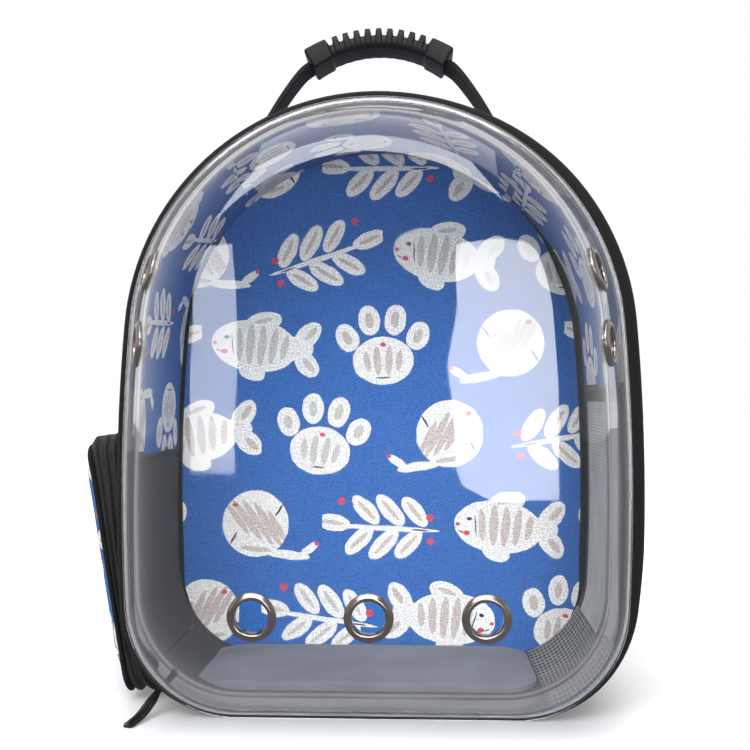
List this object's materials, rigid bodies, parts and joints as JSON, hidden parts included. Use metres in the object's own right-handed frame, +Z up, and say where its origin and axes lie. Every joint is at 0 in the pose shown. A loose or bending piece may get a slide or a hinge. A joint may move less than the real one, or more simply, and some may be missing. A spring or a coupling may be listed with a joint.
{
  "type": "bubble pet carrier backpack",
  "caption": "Arched pet carrier worn on the back, with a clear domed front shell with round vents, a printed cloth body, a side pocket, a top handle and padded shoulder straps.",
  "frame": {"origin": "middle of the base panel's underside, on the surface that the bag stands on", "axes": "+Z up, -Y towards the clear shell, +Y towards the wearer's back, +X to the right of someone who faces the shell"},
  "size_m": [0.3906, 0.3334, 0.4915],
  "materials": {
    "clear_shell": "clear thermoformed sheet, polished, faint grey where it is seen edge-on",
    "eyelet_metal": "dark nickel plating, polished and slightly brushed",
    "black_binding": "black grosgrain and pack cloth, matt",
    "zip_plastic": "black nylon coil and a black enamelled slider",
    "printed_canvas": "royal blue plain-weave canvas with an off-white and grey print",
    "grey_lining": "dark grey lining cloth, matt",
    "window_mesh": "grey polyester net",
    "grey_mat": "grey felted mat, matt",
    "back_padding": "black padded air mesh",
    "grip_plastic": "black moulded plastic, satin",
    "black_webbing": "black flat webbing with stitched ends"
  },
  "bodies": {
    "root": {"clear_shell": "clear_shell", "eyelet_front_left": "eyelet_metal", "eyelet_front_middle": "eyelet_metal", "eyelet_front_right": "eyelet_metal", "eyelet_left_lower": "eyelet_metal", "eyelet_left_upper": "eyelet_metal", "eyelet_right_lower": "eyelet_metal", "eyelet_right_upper": "eyelet_metal", "front_binding": "black_binding", "zipper_chain": "zip_plastic", "rear_piping": "black_binding", "back_binding": "black_binding", "gusset_arch": "printed_canvas", "body_floor": "grey_lining", "side_wall_left": "grey_lining", "side_wall_right": "grey_lining", "window_mesh": "window_mesh", "window_frame": "black_binding", "base_panel": "black_binding", "floor_mat": "grey_mat", "back_panel": "printed_canvas", "back_pad": "back_padding", "zipper_slider": "zip_plastic", "zipper_pull_tab": "zip_plastic", "pocket_gusset": "black_binding", "pocket_face": "printed_canvas", "pocket_rim": "black_binding", "handle_grip": "grip_plastic", "handle_webbing_left": "black_webbing", "handle_webbing_right": "black_webbing", "strap_yoke_left": "back_padding", "shoulder_strap_left": "back_padding", "ladder_lock_left": "grip_plastic", "strap_webbing_left": "black_webbing", "strap_yoke_right": "back_padding", "shoulder_strap_right": "back_padding", "ladder_lock_right": "grip_plastic", "strap_webbing_right": "black_webbing"}
  },
  "joints": []
}
